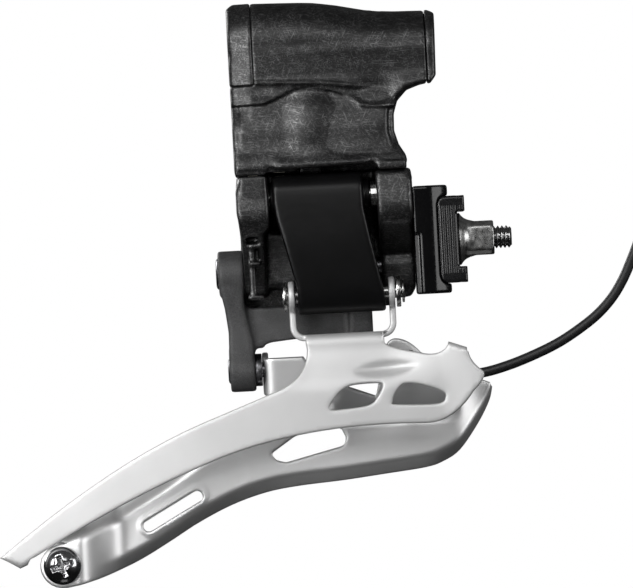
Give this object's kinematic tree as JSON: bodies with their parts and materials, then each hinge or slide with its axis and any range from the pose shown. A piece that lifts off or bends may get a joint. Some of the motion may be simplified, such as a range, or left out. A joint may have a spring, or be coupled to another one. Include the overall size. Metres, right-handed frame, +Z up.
{
  "type": "front derailleur",
  "caption": "Motorised bicycle front derailleur: a chain-guide cage on a parallelogram linkage below a motor housing, with a braze-on stud and an electric lead.",
  "frame": {"origin": "where the mounting stud's axis meets the front face of the braze-on block", "axes": "+X forwards along the pivot pins and the stud, +Y inboard towards the seat tube, +Z up"},
  "size_m": [0.1658, 0.0347, 0.1199],
  "materials": {
    "carbon_polymer": "satin black short-fibre moulding",
    "satin_black": "smooth satin black",
    "gloss_black": "glossy black anodised",
    "dark_casting": "fine sand-cast dark grey",
    "cage_silver": "bead-blasted satin silver",
    "steel": "turned bright steel",
    "zinc": "mottled zinc plating",
    "dark_chrome": "dark polished chrome",
    "bronze": "sintered bronze",
    "nylon": "natural nylon",
    "board": "green laminate",
    "black_rubber": "matte black"
  },
  "bodies": {
    "root": {"motor_housing": "carbon_polymer", "rear_end_cap": "carbon_polymer", "front_end_cap": "carbon_polymer", "rear_seal": "black_rubber", "front_seal": "black_rubber", "motor_can": "steel", "gearhead": "steel", "control_board": "board", "first_gear_axle": "steel", "second_gear_axle": "steel", "fixed_body": "carbon_polymer", "rear_bush": "bronze", "middle_bush": "bronze", "front_bush": "bronze", "braze_on_block": "gloss_black", "clamp_saddle": "dark_casting", "mounting_stud": "zinc", "flange_nut": "zinc", "inner_link_pivot_pin": "steel", "housing_screw_1": "steel", "housing_screw_2": "steel", "lead_strain_relief": "black_rubber", "lead_tube": "black_rubber", "lead_coil": "black_rubber", "coil_tie": "black_rubber", "lead_connector": "satin_black"},
    "outer_link": {"outer_link": "satin_black", "drive_shaft": "steel", "sector_gear": "nylon", "sensor_magnet": "steel", "lower_outer_pin": "steel", "outer_pin_rear_washer": "steel", "outer_pin_front_washer": "steel", "outer_pin_clip": "steel"},
    "inner_link": {"inner_link": "dark_casting", "lower_rear_pin": "steel", "lower_front_pin": "steel", "inner_pin_washer": "steel"},
    "cage": {"outer_plate": "cage_silver", "inner_plate": "cage_silver", "tail_screw": "dark_chrome", "tail_spacer": "steel", "tail_nut": "steel", "front_rivet": "steel"},
    "motor_pinion": {"motor_pinion": "bronze", "motor_shaft": "steel"},
    "first_gear": {"first_gear": "nylon"},
    "second_gear": {"second_gear": "nylon"}
  },
  "joints": [
    {"name": "outer_link_swing", "type": "hinge", "parent": "root", "child": "outer_link", "pos_m": [-0.025, -0.004, 0.0103], "axis": [-1, 0, 0], "range_deg": [0, 35]},
    {"name": "cage_swing", "type": "hinge", "parent": "outer_link", "child": "cage", "pos_m": [-0.023, -0.00221, -0.01012], "axis": [-1, 0, 0], "range_deg": [-35, 0]},
    {"name": "inner_link_swing", "type": "hinge", "parent": "root", "child": "inner_link", "pos_m": [-0.03, 0.005, -0.0047], "axis": [-1, 0, 0], "range_deg": [0, 35]},
    {"name": "second_gear_spin", "type": "hinge", "parent": "root", "child": "second_gear", "pos_m": [-0.037, 0.0015, 0.02263], "axis": [-1, 0, 0], "range_deg": [-122.5, 0]},
    {"name": "first_gear_spin", "type": "hinge", "parent": "root", "child": "first_gear", "pos_m": [-0.034, 0.00283, 0.03204], "axis": [-1, 0, 0], "range_deg": [0, 265.42]},
    {"name": "motor_pinion_spin", "type": "hinge", "parent": "root", "child": "motor_pinion", "pos_m": [-0.032, 0.002, 0.0415], "axis": [-1, 0, 0], "range_deg": [-575.08, 0]}
  ],
  "couplings": [
    {"joint": "cage_swing", "follows": "outer_link_swing", "ratio": -1},
    {"joint": "inner_link_swing", "follows": "outer_link_swing", "ratio": 1},
    {"joint": "second_gear_spin", "follows": "outer_link_swing", "ratio": -3.5},
    {"joint": "first_gear_spin", "follows": "outer_link_swing", "ratio": 7.5833},
    {"joint": "motor_pinion_spin", "follows": "outer_link_swing", "ratio": -16.431}
  ]
}
